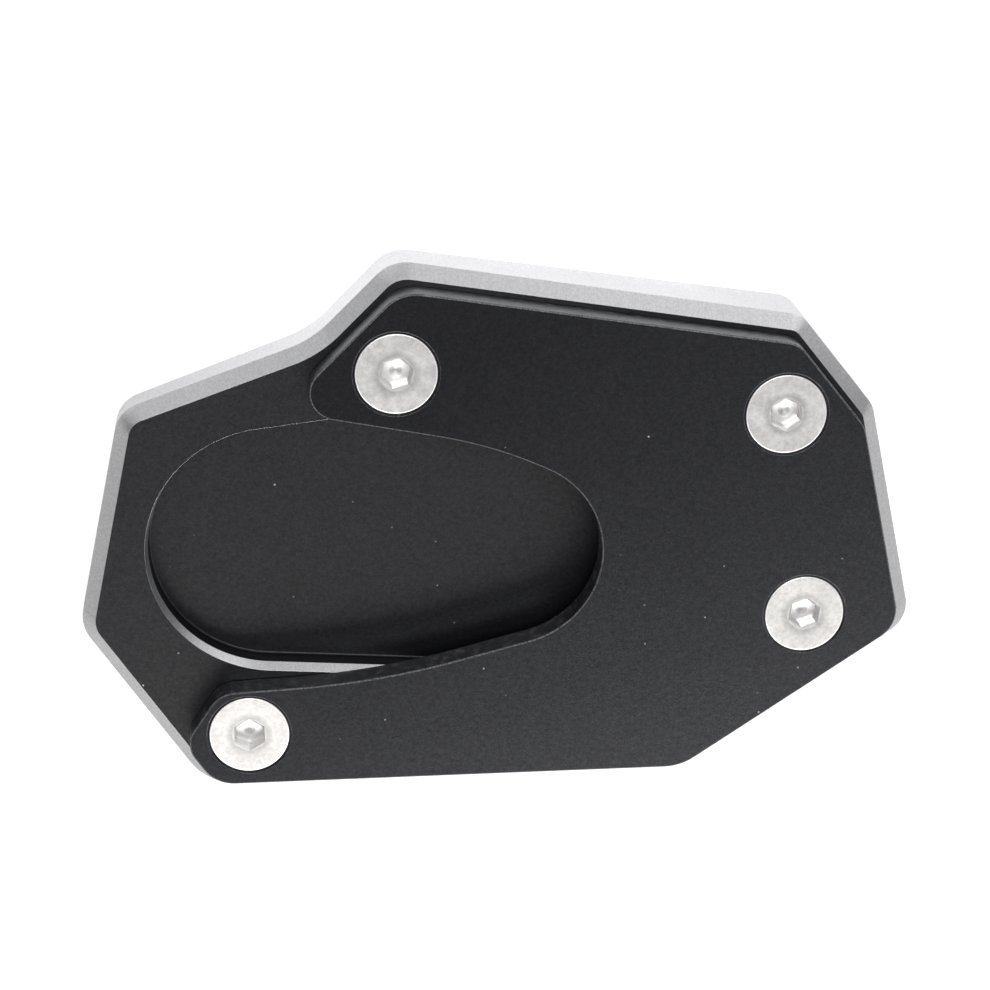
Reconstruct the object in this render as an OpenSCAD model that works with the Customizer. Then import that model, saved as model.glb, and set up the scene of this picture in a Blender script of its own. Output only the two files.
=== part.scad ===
// Clamp-on enlarger for the foot of a motorcycle's side stand.
// A wedge-shaped base plate holds the stand's foot in a pocket, and a clamp plate
// with an egg-shaped cut-out is screwed down over the foot's wide end.
// Millimetres, +Z up. The origin is on the ground face, below the middle of the plates.
// All plan coordinates are in the plane of the base plate's top face.

/* [Outline of the base plate] */
// Corner at the open end, furthest left
corner_end = [-61.9, -13.5]; // [-80:0.1:80]
// Corner at the left end of the front side
corner_front_left = [-44.2, -40.3]; // [-80:0.1:80]
// Corner at the right end of the front side
corner_front_right = [27.6, -40.5]; // [-80:0.1:80]
// Corner furthest right
corner_right = [62.2, -17.2]; // [-80:0.1:80]
// Lower corner of the short bevelled side at the back right
corner_back_low = [54.8, 16.9]; // [-80:0.1:80]
// Upper corner of the short bevelled side at the back right
corner_back_right = [43.6, 31.0]; // [-80:0.1:80]
// Corner at the left end of the back side
corner_back_left = [-15.5, 40.6]; // [-80:0.1:80]
// Hollow corner where the narrow part meets the wide part
corner_waist = [-27.0, 29.2]; // [-80:0.1:80]
// Corner at the back of the open end
corner_end_back = [-54.7, 19.4]; // [-80:0.1:80]
// Radii of the corners above, in the same order
corner_r = [6, 9, 8, 5, 4, 4, 6, 16, 5]; // [3:0.5:20]

/* [Base plate] */
// Height of the top face above the ground, over the origin
deck_h = 10.2; // [9:0.1:14]
// Slope of the top face, rising to the right
wedge_angle = 3.3; // [0:0.1:4]
// Width of the bare machined chamfer round the top face
edge_chamfer = 2; // [1:0.1:2.8]
// Edge break round the ground face
ground_break = 0.5; // [0.2:0.1:1]

/* [Foot pocket] */
// Centre of the narrow round end
pocket_c = [-33, -2.1]; // [-80:0.1:80]
// Radius of the narrow round end
pocket_r = 18.9; // [12:0.1:22]
// Radius of the wide round end, which lies under the clamp plate
pocket_heel_r = 21.8; // [12:0.1:24]
// Distance between the centres of the two ends
pocket_l = 36; // [24:0.5:42]
// Direction from the narrow end to the wide end
pocket_angle = 1.6; // [-6:0.1:6]
// Depth of the pocket
pocket_depth = 4; // [2:0.1:5]
// Width of the bare chamfer round the pocket
rim_chamfer = 0.6; // [0.2:0.1:1.2]
// Depth of the bare chamfer round the pocket
rim_chamfer_h = 0.9; // [0.2:0.1:1.5]

/* [Clamp plate] */
// Thickness of the clamp plate
clamp_t = 4.5; // [4:0.1:7]
// Step between the base plate's chamfer and the clamp plate's edge
clamp_step = 0.75; // [0.2:0.05:1]
// The same step along the two front sides
clamp_step_front = 1.15; // [0.2:0.05:1.5]
// Radii of the clamp plate's corners at the back left and the front left
clamp_corner_r = [6, 5.5]; // [3:0.5:9]
// Edge break round the clamp plate's top and bottom face
clamp_break = 0.3; // [0.1:0.05:0.4]
// Centre of the round end of the cut-out
cutout_c = [0.1, -2.1]; // [-80:0.1:80]
// Radius of the round end of the cut-out
cutout_r = 14.2; // [10:0.1:18]
// Slope of the cut-out's back side next to its round end
cutout_back_angle = 26; // [16:0.5:32]
// Slope of the cut-out's front side next to its round end
cutout_front_angle = 14.3; // [8:0.1:24]
// Radius of the long bend in the cut-out's back side
cutout_back_bend_r = 62; // [20:2:80]
// Radius of the long bend in the cut-out's front side
cutout_front_bend_r = 120; // [30:5:130]
// Slope of the back arm's inner side
back_arm_angle = 11.3; // [6:0.1:15]
// Distance of the back arm's inner side from its screw
back_arm_wall = 8.2; // [7.2:0.1:10]
// Radius of the back arm's end
back_arm_r = 4; // [2:0.1:6]
// Slope of the front arm's inner side
front_arm_angle = 2.4; // [0:0.1:7]
// Distance of the front arm's inner side from its screw
front_arm_wall = 6.9; // [6.8:0.1:8]
// Slope of the front arm's bevelled end
front_arm_end_angle = 56; // [50:1:70]
// Distance of the front arm's bevelled end from its screw
front_arm_end_wall = 7.2; // [6.8:0.1:9]
// Radii of the two corners of the front arm's end
front_arm_r = [4.5, 4]; // [2:0.5:5]

/* [Screws] */
// Thread diameter
screw_d = 6; // [5:0.5:6]
// Overall length
screw_l = 10; // [9:0.5:12]
// Head diameter
head_d = 11.8; // [10.5:0.1:12]
// Height of the cylindrical rim of the head, below its edge break
head_rim = 0.1; // [0.05:0.05:0.2]
// Edge break round the head's top
head_break = 0.1; // [0.05:0.05:0.15]
// Depth of the head's top below the clamp plate's top face
head_sink = 0.2; // [0.1:0.05:0.3]
// Width across flats of the hexagon socket
socket_af = 4; // [3:0.5:5]
// Depth of the hexagon socket
socket_depth = 2.2; // [1:0.1:2.5]
// Width of the socket's lead-in bevel
socket_bevel = 0.3; // [0.1:0.05:0.5]
// Edge break at the tip of the thread
tip_break = 0.7; // [0.2:0.1:1]
// Turn of each screw's hexagon: back left, back right, right, front left
hex_turn = [16, 33, 21, 30]; // [0:1:60]
// Distances of the back left screw from the waist side and the back side
screw_back_left_edge = [10.7, 14.7]; // [10:0.1:22]
// Distances of the back right screw from the back side and the bevelled side
screw_back_right_edge = [13.3, 10.4]; // [10:0.1:22]
// Distances of the right screw from the right side and the slanting front side
screw_right_edge = [16.4, 13.2]; // [10:0.1:22]
// Distances of the front left screw from the front side and the slanting end side
screw_front_left_edge = [11.1, 11.5]; // [10:0.1:22]

/* [Clearances] */
// Radial clearance of a screw in the base plate's threaded hole
thread_gap = 0.05; // [0.02:0.01:0.1]
// Radial clearance of a screw in the clamp plate's hole
hole_gap = 0.3; // [0.1:0.05:0.5]
// Clearance between a screw's head and its countersink, square to the cone
seat_gap = 0.03; // [0.01:0.01:0.1]
// Clearance between the two plates
plate_gap = 0.02; // [0.01:0.01:0.1]

/* [Hidden] */

// Angle covered by one flat of a rounded corner
facet_angle = 5;
// Fewest flats in a rounded corner
facet_least = 4;
// Largest share of a side that the roundings at its two ends take up
rounding_share = 0.995;
// Excess by which a cutter passes the face that it opens
cut_past = 1;
// Slope of the countersinks, from the axis
sink_angle = 45;
// Flats round each hole and each screw
round_fn = 96;
// A full turn, and half of the angle that one flat of a hexagon covers
full_turn = 360;
hex_half = 30;

black = "#2b2c2e";
bare = "#c9cacc";

thread_r = screw_d / 2;
head_r = head_d / 2;
edge_h = head_break + head_rim;
cone_h = (head_r - thread_r) / tan(sink_angle);
head_top = plate_gap + clamp_t - head_sink;
mouth_r = head_r + (head_sink + edge_h) * tan(sink_angle) + seat_gap / cos(sink_angle);

outline = [
    corner_end, corner_front_left, corner_front_right, corner_right, corner_back_low,
    corner_back_right, corner_back_left, corner_waist, corner_end_back
];
// Places of the corners in the outline
FRONT_LEFT = 1;
RIGHT = 3;
BACK_LOW = 4;
BACK_RIGHT = 5;
BACK_LEFT = 6;

// A line is a point and a direction
function heading(a) = [cos(a), sin(a)];
function left_of(v) = [-v[1], v[0]];
function wrap(i, n) = (i + n) % n;
function angle_of(v) = atan2(v[1], v[0]);
function line_through(p, q) = [p, angle_of(q - p)];
function shifted(line, d) = [line[0] + d * left_of(heading(line[1])), line[1]];
function meet(l, m) =
    let (u = heading(l[1]), v = heading(m[1]), w = m[0] - l[0])
    l[0] + u * cross(w, v) / cross(u, v);

// Side i of a closed outline runs from corner i to the next, with the solid on its left
function side(pts, i, d) =
    shifted(line_through(pts[i], pts[wrap(i + 1, len(pts))]), d);
function inset_corner(pts, i, d_before, d_after) =
    meet(side(pts, wrap(i - 1, len(pts)), d_before), side(pts, i, d_after));
function inset(pts, d) = [for (i = [0:len(pts) - 1]) inset_corner(pts, i, d, d)];
function rotated(v, a) = [v[0] * cos(a) - v[1] * sin(a), v[0] * sin(a) + v[1] * cos(a)];

// Bend at corner b between a and c: positive where the outline is convex
function bend_of(a, b, c) = angle_of(rotated(c - b, -angle_of(b - a)));
function bend_at(pts, i) =
    bend_of(pts[wrap(i - 1, len(pts))], pts[i], pts[wrap(i + 1, len(pts))]);
function radius_inset(bend, r, d) = bend > 0 ? r - d : r + d;
function flats_of(bend) = max(facet_least, ceil(abs(bend) / facet_angle));

// Radii no larger than the sides between the corners have room for
function reaches(pts, radii) =
    [for (i = [0:len(pts) - 1]) radii[i] * tan(abs(bend_at(pts, i)) / 2)];
function room(pts, t, i) =
    let (j = wrap(i + 1, len(pts)))
    rounding_share * norm(pts[j] - pts[i]) / (t[i] + t[j]);
function fitted(pts, radii) =
    let (t = reaches(pts, radii), n = len(pts))
    [for (i = [0:n - 1]) radii[i] * min(1, room(pts, t, wrap(i - 1, n)), room(pts, t, i))];

// Arc that rounds corner b between a and c, as flats that meet the straight sides
function rounded_corner(a, b, c, r, flats) =
    let (
        u = (b - a) / norm(b - a),
        bend = bend_of(a, b, c),
        side_way = sign(bend),
        start = b - u * r * tan(abs(bend) / 2),
        centre = start + left_of(u) * r * side_way
    )
    [for (k = [0:flats]) centre + rotated(start - centre, bend * k / flats)];
function rounded(pts, radii, d = 0) =
    let (n = len(pts), in_pts = inset(pts, d), r = fitted(pts, radii))
    [for (i = [0:n - 1])
        let (bend = bend_at(pts, i))
        for (p = rounded_corner(
            in_pts[wrap(i - 1, n)], in_pts[i], in_pts[wrap(i + 1, n)],
            radius_inset(bend, r[i], d), flats_of(bend)
        )) p
    ];

// Egg-shaped outline: two circles and the straight lines that touch both
function egg(c, r, heel_r, l, turn, d = 0) =
    let (
        half = acos((r - heel_r) / l),
        nose_steps = ceil((full_turn - 2 * half) / facet_angle),
        heel_steps = ceil(2 * half / facet_angle),
        heel_c = c + l * heading(turn)
    )
    concat(
        [for (k = [0:heel_steps])
            heel_c + (heel_r - d) * heading(turn - half + 2 * half * k / heel_steps)],
        [for (k = [0:nose_steps])
            c + (r - d) * heading(turn + half + (full_turn - 2 * half) * k / nose_steps)]
    );

// Triangles of a flat end, which may be hollow: one corner after another is cut off
// where the triangle at it lies inside the outline
function flat(p) = [p[0], p[1]];
function is_inside(p, a, b, c) =
    cross(b - a, p - a) > 0 && cross(c - b, p - b) > 0 && cross(a - c, p - c) > 0;
function is_ear(pts, a, b, c) =
    cross(b - a, c - b) > 0 && len([for (p = pts) if (is_inside(p, a, b, c)) p]) == 0;
function without(list, k) = [for (i = [0:len(list) - 1]) if (i != k) list[i]];
function triangles(pts, ids, k = 0, done = []) =
    let (n = len(ids), next = wrap(k + 1, n), corner = [ids[wrap(k - 1, n)], ids[k], ids[next]])
    n < 4 ? concat(done, [ids]) :
    is_ear(pts, pts[corner[0]], pts[corner[1]], pts[corner[2]]) ?
        triangles(pts, without(ids, k), wrap(k + 1, n - 1), concat(done, [corner])) :
        triangles(pts, ids, next, done);
function end_of(ring) =
    triangles([for (p = ring) flat(p)], [for (i = [0:len(ring) - 1]) i]);

// Solid through a stack of rings with the same number of points, lowest ring first
module loft(rings) {
    n = len(rings[0]);
    top = len(rings) - 1;
    sides = [for (j = [0:top - 1]) for (i = [0:n - 1])
        [j * n + i, (j + 1) * n + i, (j + 1) * n + wrap(i + 1, n), j * n + wrap(i + 1, n)]];
    lid = [for (t = end_of(rings[top])) [for (i = [2:-1:0]) top * n + t[i]]];
    polyhedron(points = [for (ring = rings) for (p = ring) p],
        faces = concat(end_of(rings[0]), sides, lid));
}
function level(pts, z) = [for (p = pts) [p[0], p[1], z]];
function ground_z(p, h = 0) = (h - deck_h - p[0] * sin(wedge_angle)) / cos(wedge_angle);
function at_ground(pts, h = 0) = [for (p = pts) [p[0], p[1], ground_z(p, h)]];

// The deck is the plane of the base plate's top face
module on_deck() {
    translate([0, 0, deck_h])
        rotate([0, -wedge_angle, 0])
            children();
}

screw_places = [
    inset_corner(outline, BACK_LEFT, screw_back_left_edge[1], screw_back_left_edge[0]),
    inset_corner(outline, BACK_RIGHT, screw_back_right_edge[1], screw_back_right_edge[0]),
    inset_corner(outline, RIGHT, screw_right_edge[1], screw_right_edge[0]),
    inset_corner(outline, FRONT_LEFT, screw_front_left_edge[1], screw_front_left_edge[0])
];
back_left_screw = screw_places[0];
front_left_screw = screw_places[3];

// Outer sides of the clamp plate, parallel to those of the base plate
clamp_in = edge_chamfer + clamp_step;
clamp_in_front = edge_chamfer + clamp_step_front;
end_side = side(outline, 0, clamp_in);
front_side = side(outline, FRONT_LEFT, clamp_in_front);
slant_side = side(outline, 2, clamp_in_front);
right_side = side(outline, RIGHT, clamp_in);
bevel_side = side(outline, BACK_LOW, clamp_in);
back_side = side(outline, BACK_RIGHT, clamp_in);
waist_side = side(outline, BACK_LEFT, clamp_in);

// Inner sides of the clamp plate, round its cut-out and the ends of its arms
back_arm_side = shifted([back_left_screw, -back_arm_angle], -back_arm_wall);
cutout_back_side = shifted([cutout_c, -cutout_back_angle], cutout_r);
cutout_front_side = shifted([cutout_c, cutout_front_angle], -cutout_r);
front_arm_side = shifted([front_left_screw, front_arm_angle], front_arm_wall);
front_arm_end = shifted([front_left_screw, front_arm_end_angle], front_arm_end_wall);

clamp_outline = [
    meet(end_side, front_side),
    meet(front_side, slant_side),
    meet(slant_side, right_side),
    meet(right_side, bevel_side),
    meet(bevel_side, back_side),
    meet(back_side, waist_side),
    meet(waist_side, back_arm_side),
    meet(back_arm_side, cutout_back_side),
    meet(cutout_back_side, cutout_front_side),
    meet(cutout_front_side, front_arm_side),
    meet(front_arm_side, front_arm_end),
    meet(front_arm_end, end_side)
];
clamp_radii = [
    clamp_corner_r[1],
    corner_r[2],
    corner_r[RIGHT],
    corner_r[BACK_LOW],
    corner_r[BACK_RIGHT],
    clamp_corner_r[0],
    back_arm_r,
    cutout_back_bend_r,
    cutout_r,
    cutout_front_bend_r,
    front_arm_r[0],
    front_arm_r[1]
];

// Base plate: wedge with a chamfered top edge, the foot pocket and four threaded holes
module base_plate() {
    color(black)
        on_deck()
            difference() {
                loft([
                    at_ground(rounded(outline, corner_r, ground_break)),
                    at_ground(rounded(outline, corner_r), ground_break),
                    level(rounded(outline, corner_r), -edge_chamfer),
                    level(rounded(outline, corner_r, edge_chamfer), 0)
                ]);
                foot_pocket();
                for (p = screw_places)
                    translate([p[0], p[1], ground_z(p) - cut_past])
                        cylinder(r = thread_r + thread_gap, h = cut_past * 2 - ground_z(p),
                            $fn = round_fn);
            }
}

module foot_pocket() {
    wall = egg(pocket_c, pocket_r, pocket_heel_r, pocket_l, pocket_angle, rim_chamfer);
    rim = egg(pocket_c, pocket_r, pocket_heel_r, pocket_l, pocket_angle);
    loft([
        level(wall, -pocket_depth),
        level(wall, -rim_chamfer_h),
        level(rim, 0),
        level(rim, cut_past)
    ]);
}

// Clamp plate: follows the base plate's edge, with two arms round the cut-out
module clamp_plate() {
    low = plate_gap;
    high = plate_gap + clamp_t;
    color(black)
        on_deck()
            difference() {
                loft([
                    level(rounded(clamp_outline, clamp_radii, clamp_break), low),
                    level(rounded(clamp_outline, clamp_radii), low + clamp_break),
                    level(rounded(clamp_outline, clamp_radii), high - clamp_break),
                    level(rounded(clamp_outline, clamp_radii, clamp_break), high)
                ]);
                for (p = screw_places)
                    translate([p[0], p[1], 0])
                        countersunk_hole(high);
            }
}

module countersunk_hole(high) {
    rotate_extrude($fn = round_fn)
        polygon([
            [0, -cut_past],
            [thread_r + hole_gap, -cut_past],
            [thread_r + hole_gap, high - (mouth_r - thread_r - hole_gap) / tan(sink_angle)],
            [mouth_r, high],
            [mouth_r, high + cut_past],
            [0, high + cut_past]
        ]);
}

// Countersunk screws with hexagon sockets
module clamp_screws() {
    color(bare)
        on_deck()
            for (i = [0:len(screw_places) - 1])
                translate([screw_places[i][0], screw_places[i][1], head_top])
                    rotate([0, 0, hex_turn[i]])
                        countersunk_screw();
}

module countersunk_screw() {
    socket_r = socket_af / 2 / cos(hex_half);
    cone_top = -edge_h;
    cone_low = cone_top - cone_h;
    difference() {
        rotate_extrude($fn = round_fn)
            polygon([
                [0, 0],
                [head_r - head_break, 0],
                [head_r, -head_break],
                [head_r, cone_top],
                [thread_r, cone_low],
                [thread_r, tip_break - screw_l],
                [thread_r - tip_break, -screw_l],
                [0, -screw_l]
            ]);
        translate([0, 0, -socket_depth])
            cylinder(r = socket_r, h = socket_depth + cut_past, $fn = 6);
        // Lead-in bevel, and the drill point in the socket's floor
        rotate_extrude($fn = round_fn)
            polygon([
                [0, cut_past],
                [socket_r + socket_bevel, cut_past],
                [socket_r + socket_bevel, 0],
                [socket_r, -socket_bevel],
                [0, -socket_bevel]
            ]);
        translate([0, 0, -socket_depth])
            rotate_extrude($fn = round_fn)
                polygon([
                    [0, cut_past / 2],
                    [socket_af / 2, cut_past / 2],
                    [socket_af / 2, 0],
                    [0, -socket_af / 2 * tan(hex_half)]
                ]);
    }
}

base_plate();
clamp_plate();
clamp_screws();
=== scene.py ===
import math

import bpy
import numpy as np
from mathutils import Matrix, Vector
from mathutils.geometry import tessellate_polygon


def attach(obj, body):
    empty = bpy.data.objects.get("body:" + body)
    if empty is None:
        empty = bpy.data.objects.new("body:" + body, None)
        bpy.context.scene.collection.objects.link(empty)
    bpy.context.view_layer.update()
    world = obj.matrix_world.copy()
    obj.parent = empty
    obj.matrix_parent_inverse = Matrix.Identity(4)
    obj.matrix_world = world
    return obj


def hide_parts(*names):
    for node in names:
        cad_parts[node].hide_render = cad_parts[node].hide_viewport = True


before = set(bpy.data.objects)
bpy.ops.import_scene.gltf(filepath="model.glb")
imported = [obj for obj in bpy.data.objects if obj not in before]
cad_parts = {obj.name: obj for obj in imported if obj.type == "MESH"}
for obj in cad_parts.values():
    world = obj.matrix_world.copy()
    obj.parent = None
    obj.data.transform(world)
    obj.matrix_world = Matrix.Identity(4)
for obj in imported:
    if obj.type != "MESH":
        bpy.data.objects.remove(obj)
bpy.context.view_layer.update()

bl_info = {
    "name": "Kickstand Foot Enlarger",
    "version": (1, 0, 0),
    "blender": (4, 5, 0),
    "location": "View3D > Sidebar > Foot Enlarger",
    "description": "Dresses the two plates and four screws of a side-stand foot enlarger",
    "category": "Object",
}

MM = 0.001
PHOTO_WIDTH = 990
SENSOR_MM = 36.0
WHITE = (1.0, 1.0, 1.0, 1.0)
CLAMP_TINT = (0.92, 0.94, 1.0)

# Places of the outline's first corners, counted from the open end and round the front
END, FRONT_LEFT, FRONT_RIGHT, RIGHT, BACK_LOW, BACK_RIGHT, BACK_LEFT = range(7)

# Finishes of the plates' faces and of the screws' faces; the screws' second finish is a lighter copy
# of the steel, a painted highlight
BLACK, BARE, WORN, WALL = 0, 1, 2, 3
SATIN, PAINTED_HIGHLIGHT = 0, 1


# Settings

def length(name, description, default_mm):
    """A size that is shown in the scene's units and given here in millimetres."""
    return bpy.props.FloatProperty(
        name=name, description=description, default=default_mm * MM,
        min=0.0, precision=5, unit="LENGTH",
    )


def place(name, description, x_mm, y_mm):
    """A point in the plane of the base plate's top face."""
    return lengths(name, description, (x_mm, y_mm))


def lengths(name, description, defaults_mm):
    return bpy.props.FloatVectorProperty(
        name=name, description=description, size=len(defaults_mm),
        default=tuple(v * MM for v in defaults_mm), precision=5, unit="LENGTH",
    )


def slope(name, description, degrees):
    return bpy.props.FloatProperty(
        name=name, description=description, default=math.radians(degrees), subtype="ANGLE",
    )


def finish_colour(name, description, rgb):
    return bpy.props.FloatVectorProperty(
        name=name, description=description, size=3, default=rgb, min=0.0, max=1.0,
        subtype="COLOR",
    )


def share(name, description, default):
    return bpy.props.FloatProperty(
        name=name, description=description, default=default, min=0.0, max=1.0,
        subtype="FACTOR",
    )


class OutlineSettings(bpy.types.PropertyGroup):
    """Corners of the base plate, in the plane of its top face"""

    corner_end: place("Open end", "Corner at the open end", -61.9, -13.5)
    corner_front_left: place("Front left", "Left end of the front side", -44.2, -40.3)
    corner_front_right: place("Front right", "Right end of the front side", 27.6, -40.5)
    corner_right: place("Right", "Corner furthest right", 62.2, -17.2)
    corner_back_low: place("Bevel, low", "Lower corner of the bevelled side", 54.8, 16.9)
    corner_back_right: place("Bevel, high", "Upper corner of the bevelled side", 43.6, 31.0)
    corner_back_left: place("Back left", "Left end of the back side", -15.5, 40.6)
    corner_waist: place("Waist", "Hollow corner between narrow and wide part", -27.0, 29.2)
    corner_end_back: place("Open end, back", "Back corner of the open end", -54.7, 19.4)
    radii: lengths("Corner radii", "Radii of the corners, in order", (6, 9, 8, 5, 4, 4, 6, 16, 5))


class BasePlateSettings(bpy.types.PropertyGroup):
    """Wedge-shaped plate that stands on the ground"""

    deck_height: length("Deck height", "Top face above the ground, over the origin", 10.2)
    wedge_angle: slope("Wedge angle", "Slope of the top face", 3.3)
    edge_chamfer: length("Edge chamfer", "Bare chamfer round the top face", 2.0)
    ground_break: length("Ground edge", "Rounding round the ground face", 0.5)
    arris: length("Arris", "Rounding of the machined edges", 0.12)
    pocket_centre: place("Pocket centre", "Centre of the pocket's narrow end", -33.0, -2.1)
    pocket_radius: length("Pocket radius", "Radius of the narrow end", 18.9)
    pocket_heel: length("Pocket heel", "Radius of the wide end", 22.3)
    pocket_length: length("Pocket length", "Distance between the ends' centres", 36.0)
    pocket_angle: slope("Pocket turn", "Direction from narrow to wide end", 1.1)
    pocket_depth: length("Pocket depth", "Depth of the foot pocket", 4.0)
    pocket_fillet: length("Pocket fillet", "Rounding at the pocket's floor", 0.35)
    rim_width: length("Rim width", "Mean width of the bare rim chamfer", 0.65)
    rim_shift: place("Rim shift", "Pocket's wall from the middle of its rim", -0.2, 0.42)
    rim_depth: length("Rim depth", "Depth of the bare rim chamfer", 0.95)
    bore_gap: length("Thread gap", "Gap between a screw and its threaded hole", 0.05)


class ClampPlateSettings(bpy.types.PropertyGroup):
    """Plate with the egg-shaped cut-out that traps the stand's foot"""

    thickness: length("Thickness", "Thickness of the clamp plate", 4.5)
    gap: length("Gap", "Gap between the two plates", 0.02)
    step: length("Step", "Step from the base plate's chamfer", 0.75)
    step_front: length("Front step", "The same step along the front sides", 1.15)
    corner_radii: lengths("Corner radii", "Back left and front left corner", (6.0, 5.5))
    edge_break: length("Edge break", "Edge break of both faces", 0.22)
    cutout_centre: place("Cut-out centre", "Centre of the round end", 0.1, -2.1)
    cutout_radius: length("Cut-out radius", "Radius of the round end", 14.2)
    cutout_back_angle: slope("Back slope", "Slope of the cut-out's back side", 26.0)
    cutout_front_angle: slope("Front slope", "Slope of the cut-out's front side", 14.3)
    cutout_bends: lengths("Long bends", "Radii of the back and front bend", (62.0, 120.0))
    back_arm_angle: slope("Back arm slope", "Slope of its inner side", 11.3)
    back_arm_wall: length("Back arm wall", "Inner side from the screw", 8.2)
    back_arm_radius: length("Back arm end", "Radius of the arm's end", 4.0)
    front_arm_angle: slope("Front arm slope", "Slope of its inner side", 2.4)
    front_arm_wall: length("Front arm wall", "Inner side from the screw", 6.9)
    front_arm_end_angle: slope("Front arm end slope", "Slope of the bevelled end", 56.0)
    front_arm_end_wall: length("Front arm end wall", "Bevelled end from the screw", 7.2)
    front_arm_radii: lengths("Front arm end", "Radii of the end's two corners", (4.5, 4.0))
    hole_gap: length("Hole gap", "Radial gap round a screw", 0.3)


class ScrewSettings(bpy.types.PropertyGroup):
    """Countersunk screws with a hexagon socket"""

    diameter: length("Thread", "Thread diameter", 6.0)
    length: length("Length", "Overall length", 10.0)
    pitch: length("Pitch", "Distance from one thread to the next", 1.0)
    thread_depth: length("Thread depth", "Depth of the thread", 0.6)
    head_diameter: length("Head", "Head diameter", 11.8)
    head_rim: length("Head rim", "Height of the head's cylindrical rim", 0.04)
    head_break: length("Head edge", "Rounding of the head's top edge", 0.16)
    head_sink: length("Sink", "Depth of the head below the clamp plate's face", 0.1)
    seat_gap: length("Seat gap", "Gap between head and countersink", 0.03)
    dish: length("Dish", "Depth of the pressed hollow round the socket", 0.03)
    socket: length("Socket", "Width across the hexagon's flats", 4.0)
    socket_depth: length("Socket depth", "Depth of the hexagon", 2.0)
    socket_bevel: length("Socket bevel", "Lead-in bevel of the socket", 0.27)
    drill_point: length("Drill point", "Depth of the cone in the socket's floor", 0.3)
    tip_break: length("Tip", "Edge break at the thread's tip", 0.7)
    turns: bpy.props.FloatVectorProperty(
        name="Turns", description="Turn of each hexagon: back left, back right, right, front left",
        size=4, default=tuple(math.radians(a) for a in (16, 33, 21, 30)), unit="ROTATION",
    )
    back_left_edges: lengths("Back left", "From the waist side and the back side", (10.7, 14.7))
    back_right_edges: lengths("Back right", "From the back and the bevelled side", (13.3, 10.4))
    right_edges: lengths("Right", "From the right and the slanting front side", (16.4, 13.2))
    front_left_edges: lengths("Front left", "From the front and the end side", (11.1, 11.5))


class FinishSettings(bpy.types.PropertyGroup):
    """Colours and finishes of the three materials"""

    anodised: finish_colour("Anodised black", "Satin black of both plates", (0.0045, 0.0046, 0.0065))
    base_roughness: share("Base roughness", "Roughness of the base plate's black", 0.36)
    clamp_roughness: share("Clamp roughness", "Roughness of the clamp plate's black", 0.305)
    worn: finish_colour("Worn edge", "Edges rubbed down to the metal", (0.40, 0.40, 0.42))
    bare: finish_colour("Bare aluminium", "Machined edges of the base plate", (0.80, 0.80, 0.815))
    bare_roughness: share("Bare roughness", "Roughness of the machined edges", 0.33)
    steel: finish_colour("Stainless steel", "Screws", (0.75, 0.736, 0.732))
    # A lighter copy of the steel that paints highlights on the sockets and the heads' edges
    painted_highlight_steel: finish_colour("Steel with painted highlight", "Sockets and edges", (0.97, 0.96, 0.95))
    steel_roughness: share("Steel roughness", "Roughness of the screws", 0.36)
    dust: finish_colour("Dust", "Fine specks on the black faces", (0.45, 0.45, 0.44))


class StudioSettings(bpy.types.PropertyGroup):
    """Floor, lamps and camera"""

    floor: finish_colour("Floor", "Colour of the floor", (0.40, 0.40, 0.40))
    floor_seen: share("Floor glow", "White added where the camera sees the floor", 0.78)
    floor_behind: share("Glow behind", "White that metal shows behind the part", 0.88)
    floor_before: share("Glow in front", "White that metal shows before the part", 0.20)
    floor_drop: length("Floor drop", "Hair between the floor and the ground face", 0.03)
    floor_size: length("Floor size", "Side of the square floor", 3000.0)
    focal_pixels: bpy.props.FloatProperty(
        name="Focal length", description="Focal length in widths of the photograph's pixels",
        default=2530.0, min=500.0,
    )


# Outlines in plan

# No flat of a drawn arc turns by more than this
FLAT_ANGLE = math.radians(1.5)
FEWEST_FLATS = 6


def heading(angle):
    return np.array((math.cos(angle), math.sin(angle)))


def left_of(v):
    return np.array((-v[1], v[0]))


def unit(v):
    return v / np.linalg.norm(v)


def cross(a, b):
    return a[0] * b[1] - a[1] * b[0]


def angle_of(v):
    return math.atan2(v[1], v[0])


def turned(v, angle):
    return v[0] * heading(angle) + v[1] * left_of(heading(angle))


def bend_between(u, v):
    return angle_of(turned(v, -angle_of(u)))


def shifted(line, distance):
    """A line is a point and a direction; it moves to its left."""
    return line[0] + distance * left_of(heading(line[1])), line[1]


def meet(one, other):
    u, v, w = heading(one[1]), heading(other[1]), other[0] - one[0]
    return one[0] + u * cross(w, v) / cross(u, v)


def side(points, i, distance):
    a, b = points[i], points[(i + 1) % len(points)]
    return shifted((a, angle_of(b - a)), distance)


def inset_corner(points, i, before, after):
    return meet(side(points, (i - 1) % len(points), before), side(points, i, after))


def arc_at(corner, towards, bend, radius, flats):
    """Arc that rounds a corner, which is reached in one direction and left after a bend."""
    start = corner - towards * radius * math.tan(abs(bend) / 2)
    centre = start + left_of(towards) * radius * math.copysign(1, bend)
    return [centre + turned(start - centre, bend * k / flats) for k in range(flats + 1)]


def rounded(points, radii, inset):
    """Closed outline with rounded corners, moved inwards, with as many points at any inset."""
    inner = [inset_corner(points, i, inset, inset) for i in range(len(points))]
    ring = []
    for i, corner in enumerate(inner):
        a, b, c = points[i - 1], points[i], points[(i + 1) % len(points)]
        bend = bend_between(b - a, c - b)
        radius = radii[i] - inset if bend > 0 else radii[i] + inset
        flats = max(FEWEST_FLATS, math.ceil(abs(bend) / FLAT_ANGLE))
        ring += arc_at(corner, unit(corner - inner[i - 1]), bend, radius, flats)
    return np.array(ring)


def arc(middle, radius, start, sweep):
    flats = math.ceil(sweep / FLAT_ANGLE)
    return [middle + radius * heading(start + sweep * k / flats) for k in range(flats + 1)]


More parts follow.
